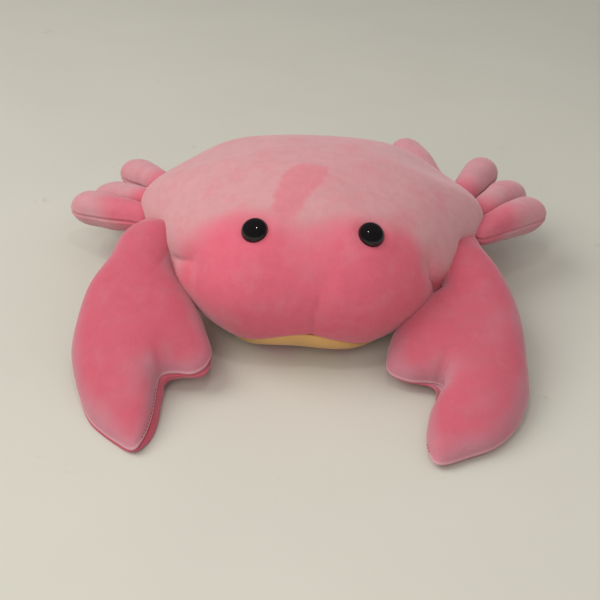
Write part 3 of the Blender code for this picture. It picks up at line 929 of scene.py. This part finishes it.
# Legs. Four short stuffed paddles a side, each of an upper and an under panel like the claws,
# stitched one behind another into the side seam so that they stand a little off the floor.
LEG_LENGTH = 0.074
LEG_WIDTH = 0.0285
LEG_ROOT_WIDTH = 0.019
LEG_ROOT_END_WIDTH = 0.0115
LEG_HEIGHTS = (0.0145, 0.0140)
LEG_ROOT_DEPTH = 0.010
LEG_SPACING = 0.0045
LEG_STEPS = (0.0, 0.0275, 0.052, 0.078)
LEG_DROOP = 1.3
LEG_CROWDING = 1.4
LEG_AROUND = 192
LEG_RINGS = 48
LEG_SEAM_DEPTH = 0.0009
LEG_SEAM_WIDTH = 0.0008
LEG_ROLL_HEIGHT = 0.0004
LEG_ROLL_PLACE = 0.0020
LEG_ROLL_WIDTH = 0.0012
LEG_UNEVENNESS = 0.0006
LEG_LUMP_SIZE = 0.03
# how far out from each leg's root the painted sheen starts, and how much painted sheen the under panels
# get
LEG_DEEP_ROOTS = (0.030, 0.012, 0.014, 0.012)
LEG_UNDER_SHEEN = 0.014
LEG_PINK_DEEP = (0.62, 0.14, 0.19, 1.0)
LEG_PINK_SHEEN_PALE = (0.58, 0.275, 0.30, 1.0)
CLAW_ROOT_REACH = 0.0315
LEG_OUTLINE = (
    (1.00, 0.00),
    (0.94, 0.36),
    (0.75, 0.50),
    (0.40, 0.43),
)
LEG_POSES = {
    "left": ((124.5, 0.038), (135.2, 0.0275), (143.5, 0.0375), (165.0, 0.012)),
    "right": ((135.5, 0.0455), (146.5, 0.0430), (156.5, 0.0495), (202.0, 0.056)),
}


def leg_outline(share):
    """The flat outline of every leg, given by the share of the way round it."""
    half = [(x * LEG_LENGTH, y * LEG_WIDTH) for x, y in LEG_OUTLINE]
    half += [(0.0, LEG_ROOT_WIDTH / 2), (-LEG_ROOT_DEPTH, LEG_ROOT_END_WIDTH / 2)]
    return smooth_ring(half + [(x, -y) for x, y in reversed(half[1:])], share)


leg_velour = velour("leg_velour", LEG_PINK_DEEP, LEG_PINK_SHEEN_PALE, 0.014, 0.016)
leg_middle = np.array([(LEG_LENGTH - LEG_ROOT_DEPTH) / 2, 0.0])
first_leg = CLAW_STATION + CLAW_ROOT_REACH + LEG_ROOT_WIDTH / 2 + LEG_SPACING
for word, side in (("left", -1), ("right", 1)):
    for index, (angle, tip_height) in enumerate(LEG_POSES[word]):
        root = side_seam_point(side * seam_share(first_leg + LEG_STEPS[index]))
        net, flat = limb_net(side, root, angle, tip_height, leg_outline, leg_middle, LEG_LENGTH,
                             LEG_HEIGHTS, LEG_DROOP, LEG_AROUND, LEG_RINGS, LEG_CROWDING)
        out = net_normals(net)
        off = seam_distance(net)
        # the seam is a groove between two equal rolls of cloth
        proud = -hump(LEG_SEAM_DEPTH, off, LEG_SEAM_WIDTH)
        proud += hump(LEG_ROLL_HEIGHT, np.abs(off) - LEG_ROLL_PLACE, LEG_ROLL_WIDTH)
        proud += LEG_UNEVENNESS * lumps(net, LEG_LUMP_SIZE, 31 + 4 * side + index)
        net = net + out * proud[..., None]
        # painted sheen: deep near the root, and on the front leg's top further out; the under panel is
        # painted pale
        deep_root = LEG_DEEP_ROOTS[index]
        sheen_depth = flat[..., 0] - deep_root - 0.35 * np.minimum(off, 0.02) * (deep_root > 0.02)
        sheen_depth = np.where(off < 0, np.minimum(sheen_depth + LEG_UNDER_SHEEN, LEG_UNDER_SHEEN + 0.4 * off), sheen_depth)
        marks = {
            "sheen_depth": sheen_depth,
            "brushed": np.full(sheen_depth.shape, NAP_FAR_OUTSIDE),
            "ridge": np.zeros(sheen_depth.shape),
        }
        name = f"leg_{word}_{index + 1}"
        leg = add_net(name + "_skin", net, marks, leg_velour)
        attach(leg, "root")
        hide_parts(name + "_upper_panel", name + "_under_panel", name + "_stuffing")


# Floor. A plain pale glossy sheet that the toy lies on. It is one flat piece, larger than the
# view, a little cloudy and worn, with small yellowish marks.
FLOOR_REACH = 3.0
FLOOR_DARK = (0.56, 0.545, 0.475, 1.0)
FLOOR_LIGHT = (0.62, 0.605, 0.53, 1.0)
FLOOR_MARKS = (0.62, 0.60, 0.46, 1.0)


def pale_sheet(name):
    """Worn glossy sheet: cloudy, with scattered small marks."""
    finish = Finish(name)
    tone = finish.blend(finish.noise(6.0, 5.0), FLOOR_DARK, FLOOR_LIGHT)
    marked = finish.ramp(finish.noise(34.0, 6.0, 0.62), 0.66, 0.76, 0.0, 0.45)
    finish.colour(finish.blend(marked, tone, FLOOR_MARKS, "MULTIPLY"))
    finish.set(Roughness=0.32, Specular_IOR_Level=0.3)
    return finish.paint


floor_corners = [
    (-FLOOR_REACH, -FLOOR_REACH, 0.0),
    (FLOOR_REACH, -FLOOR_REACH, 0.0),
    (FLOOR_REACH, FLOOR_REACH, 0.0),
    (-FLOOR_REACH, FLOOR_REACH, 0.0),
]
floor_mesh = bpy.data.meshes.new("floor")
floor_mesh.from_pydata(floor_corners, [], [(0, 1, 2, 3)])
floor_mesh.materials.append(pale_sheet("pale_sheet"))
floor = bpy.data.objects.new("floor", floor_mesh)
bpy.context.scene.collection.objects.link(floor)


# Light. Soft daylight from above and to the left, a weaker soft lamp in front, and even fill
# from the room, which polished surfaces show dimmer. A small lamp above the face makes the
# highlight on each eye.
ROOM_LIGHT = 0.54
ROOM_LIGHT_IN_GLOSS = 0.10


def soft_lamp(name, place, aim, size, watts, colour):
    """A round lamp at a place, turned to what it lights."""
    data = bpy.data.lights.new(name, "AREA")
    data.shape = "DISK"
    data.size = size
    data.energy = watts
    data.color = colour
    lamp = bpy.data.objects.new(name, data)
    lamp.location = place
    lamp.rotation_mode = "QUATERNION"
    lamp.rotation_quaternion = (Vector(aim) - Vector(place)).to_track_quat("-Z", "Y")
    bpy.context.scene.collection.objects.link(lamp)
    return lamp


key = soft_lamp("key_lamp", (-1.35, 0.05, 1.45), (0.0, -0.02, 0.03), 1.50, 20.5, (1.0, 0.985, 0.96))
key.visible_glossy = False
front = soft_lamp("front_lamp", (-0.25, -1.05, 0.85), (0.0, -0.05, 0.05), 0.80, 4.6, (1.0, 0.985, 0.97))
front.visible_glossy = False
world = bpy.data.worlds.new("room")
world.use_nodes = True
sky = world.node_tree.nodes["Background"]
sky.inputs["Color"].default_value = (1.0, 0.985, 0.97, 1.0)
rays = world.node_tree.nodes.new("ShaderNodeLightPath")
dim = world.node_tree.nodes.new("ShaderNodeMath")
dim.operation = "MULTIPLY_ADD"
dim.inputs[1].default_value = ROOM_LIGHT_IN_GLOSS - ROOM_LIGHT
dim.inputs[2].default_value = ROOM_LIGHT
world.node_tree.links.new(rays.outputs["Is Glossy Ray"], dim.inputs[0])
world.node_tree.links.new(dim.outputs[0], sky.inputs["Strength"])
bpy.context.scene.world = world
soft_lamp("eye_lamp", (0.0, -0.22, 0.66), (0.0, -0.06, 0.09), 0.035, 0.30, (1.0, 1.0, 1.0))


# Camera. It looks down at the crab from in front, at 35 degrees and from 0.64 m away, and is
# held a little askew.
CAMERA_ELEVATION = 35.0
CAMERA_AZIMUTH = 2.0
CAMERA_ROLL = 1.5
CAMERA_AIM = (-0.004, -0.053, 0.031)
CAMERA_DISTANCE = 0.639
CAMERA_LENS = 54.0
SENSOR_WIDTH = 36.0
elevation, azimuth, roll = (math.radians(a) for a in (CAMERA_ELEVATION, CAMERA_AZIMUTH, CAMERA_ROLL))
flat_back = Vector((math.sin(azimuth), -math.cos(azimuth), 0.0))
back = flat_back * math.cos(elevation) + Vector((0.0, 0.0, math.sin(elevation)))
level_right = (-back).cross(Vector((0.0, 0.0, 1.0))).normalized()
level_up = level_right.cross(-back)
right = level_right * math.cos(roll) + level_up * math.sin(roll)
up = level_up * math.cos(roll) - level_right * math.sin(roll)
camera_data = bpy.data.cameras.new("camera")
camera_data.lens = CAMERA_LENS
camera_data.sensor_width = SENSOR_WIDTH
camera_data.clip_start = 0.05
camera = bpy.data.objects.new("camera", camera_data)
place = Vector(CAMERA_AIM) + back * CAMERA_DISTANCE
camera.matrix_world = Matrix.Translation(place) @ Matrix((right, up, back)).transposed().to_4x4()
bpy.context.scene.collection.objects.link(camera)
bpy.context.scene.camera = camera
bpy.context.scene.view_settings.view_transform = "Standard"
